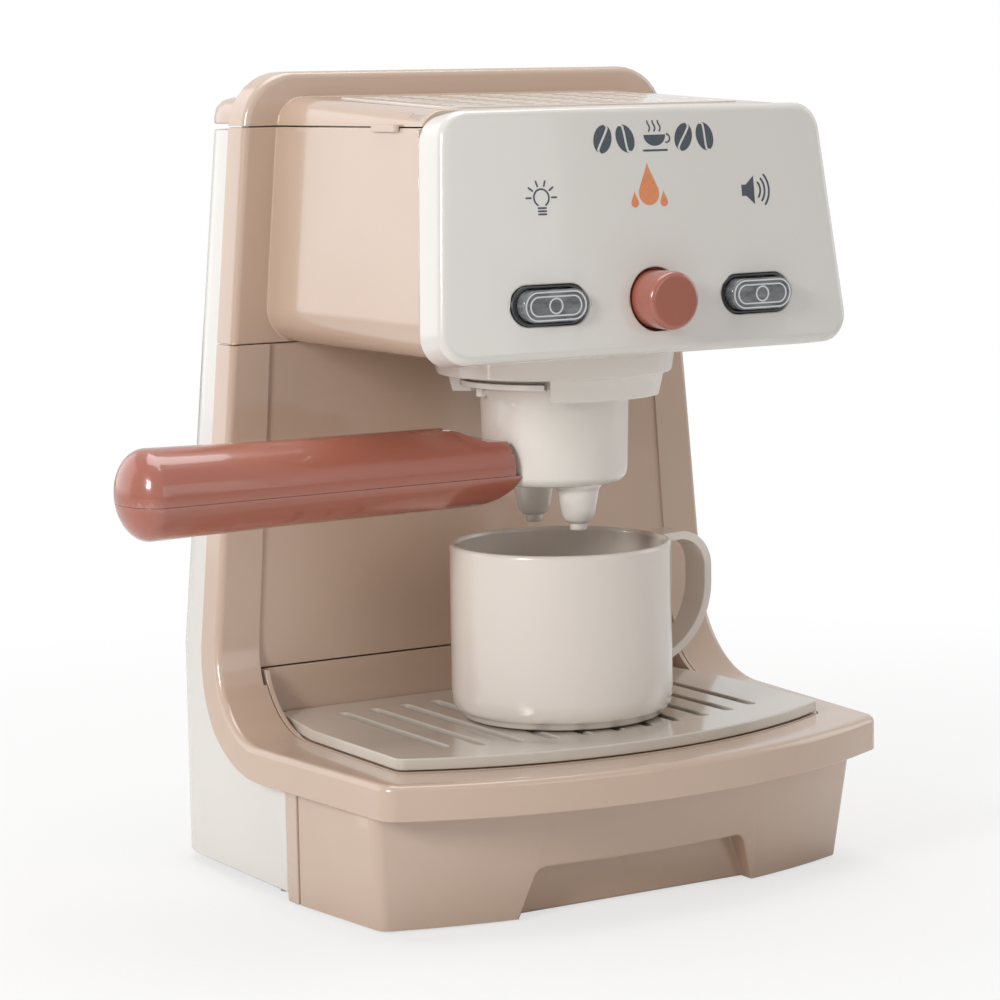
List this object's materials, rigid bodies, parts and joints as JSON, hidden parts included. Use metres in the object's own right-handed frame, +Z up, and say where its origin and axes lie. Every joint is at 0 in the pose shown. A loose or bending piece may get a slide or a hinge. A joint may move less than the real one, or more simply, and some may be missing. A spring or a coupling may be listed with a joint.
{
  "type": "toy coffee maker",
  "caption": "Toy coffee maker with hinged lid, push pump, two push keys, bayonet portafilter, loose mug, lift-out grille and sliding drip drawer.",
  "frame": {"origin": "on the table under the middle of the body, on the face of the centre foot pad", "axes": "+X to the right seen from the front, the front faces -Y, +Z up"},
  "size_m": [0.2465, 0.1737, 0.255],
  "materials": {
    "tan_shell": "moulded tan plastic, glossy",
    "cream_shell": "moulded off-white plastic, glossy",
    "white_parts": "moulded white plastic, glossy",
    "mug_body": "moulded ivory plastic, glossy",
    "terracotta": "moulded terracotta plastic, satin gloss",
    "grille": "moulded stone-grey plastic, glossy",
    "clear_plastic": "clear moulded plastic",
    "dark_plastic": "smoked dark plastic",
    "steel": "plated steel",
    "rubber_pad": "soft rubber",
    "hose": "milky silicone tube",
    "board": "coated circuit board",
    "battery_sleeve": "printed cell sleeve, plain",
    "lead_red": "wire insulation",
    "lead_dark": "wire insulation",
    "led_white": "diffusing lens"
  },
  "bodies": {
    "housing": {"lower_frame": "tan_shell", "upper_housing": "tan_shell", "rear_shell": "cream_shell", "base_plate": "cream_shell", "rubber_feet": "rubber_pad", "battery_cover": "cream_shell", "battery_1": "battery_sleeve", "battery_2": "battery_sleeve", "battery_3": "battery_sleeve", "contact_springs": "steel", "contact_plates": "steel", "speaker": "dark_plastic", "rear_screws": "steel", "base_screws": "steel", "front_panel": "cream_shell", "light_bezel": "dark_plastic", "sound_bezel": "dark_plastic", "circuit_board": "board", "light_switch": "dark_plastic", "sound_switch": "dark_plastic", "light_led": "led_white", "sound_led": "led_white", "board_screws": "steel", "power_lead": "lead_red", "speaker_lead": "lead_dark", "pump_cylinder": "clear_plastic", "pump_spring": "steel", "water_tank": "clear_plastic", "inlet_hose": "hose", "outlet_hose": "hose", "spout_fitting": "white_parts", "group_head": "white_parts", "group_seal": "rubber_pad", "tray_insert": "tan_shell", "lid_pin": "steel"},
    "lid": {"top_lid": "tan_shell", "warmer_plate": "white_parts"},
    "light_key": {"light_button": "clear_plastic"},
    "sound_key": {"sound_button": "clear_plastic"},
    "pump": {"pump_button": "terracotta", "pump_piston": "steel"},
    "basket": {"filter_basket": "steel"},
    "portafilter": {"portafilter_cup": "white_parts", "handle_upper": "terracotta", "handle_lower": "terracotta", "handle_screws": "steel"},
    "grille": {"grille_plate": "grille"},
    "mug_body": {"mug": "mug_body"},
    "drawer": {"drip_drawer": "tan_shell"}
  },
  "joints": [
    {"name": "lid_hinge", "type": "hinge", "parent": "housing", "child": "lid", "pos_m": [0, 0.0868, 0.2383], "axis": [-1, 0, 0], "range_deg": [0, 85]},
    {"name": "light_press", "type": "slide", "parent": "housing", "child": "light_key", "axis": [0, 1, 0], "range_m": [0, 0.0012], "stiffness_N_per_m": 600, "springref_m": -0.0006},
    {"name": "sound_press", "type": "slide", "parent": "housing", "child": "sound_key", "axis": [0, 1, 0], "range_m": [0, 0.0012], "stiffness_N_per_m": 600, "springref_m": -0.0006},
    {"name": "pump_press", "type": "slide", "parent": "housing", "child": "pump", "axis": [0, 1, 0], "range_m": [0, 0.006], "stiffness_N_per_m": 300, "springref_m": -0.003, "deforming": ["pump_spring"]},
    {"name": "portafilter_drop", "type": "slide", "parent": "housing", "child": "basket", "axis": [0, 0, -1], "range_m": [0, 0.01]},
    {"name": "portafilter_turn", "type": "hinge", "parent": "basket", "child": "portafilter", "pos_m": [0, -0.0148, 0.158], "axis": [0, 0, 1], "range_deg": [0, 90]},
    {"name": "grille_out", "type": "slide", "parent": "housing", "child": "grille", "axis": [0, -1, 0], "range_m": [0, 0.125]},
    {"name": "mug_off", "type": "slide", "parent": "grille", "child": "mug_body", "axis": [0, -1, 0], "range_m": [0, 0.11]},
    {"name": "drawer_out", "type": "slide", "parent": "housing", "child": "drawer", "axis": [0, -1, 0], "range_m": [0, 0.065]}
  ]
}
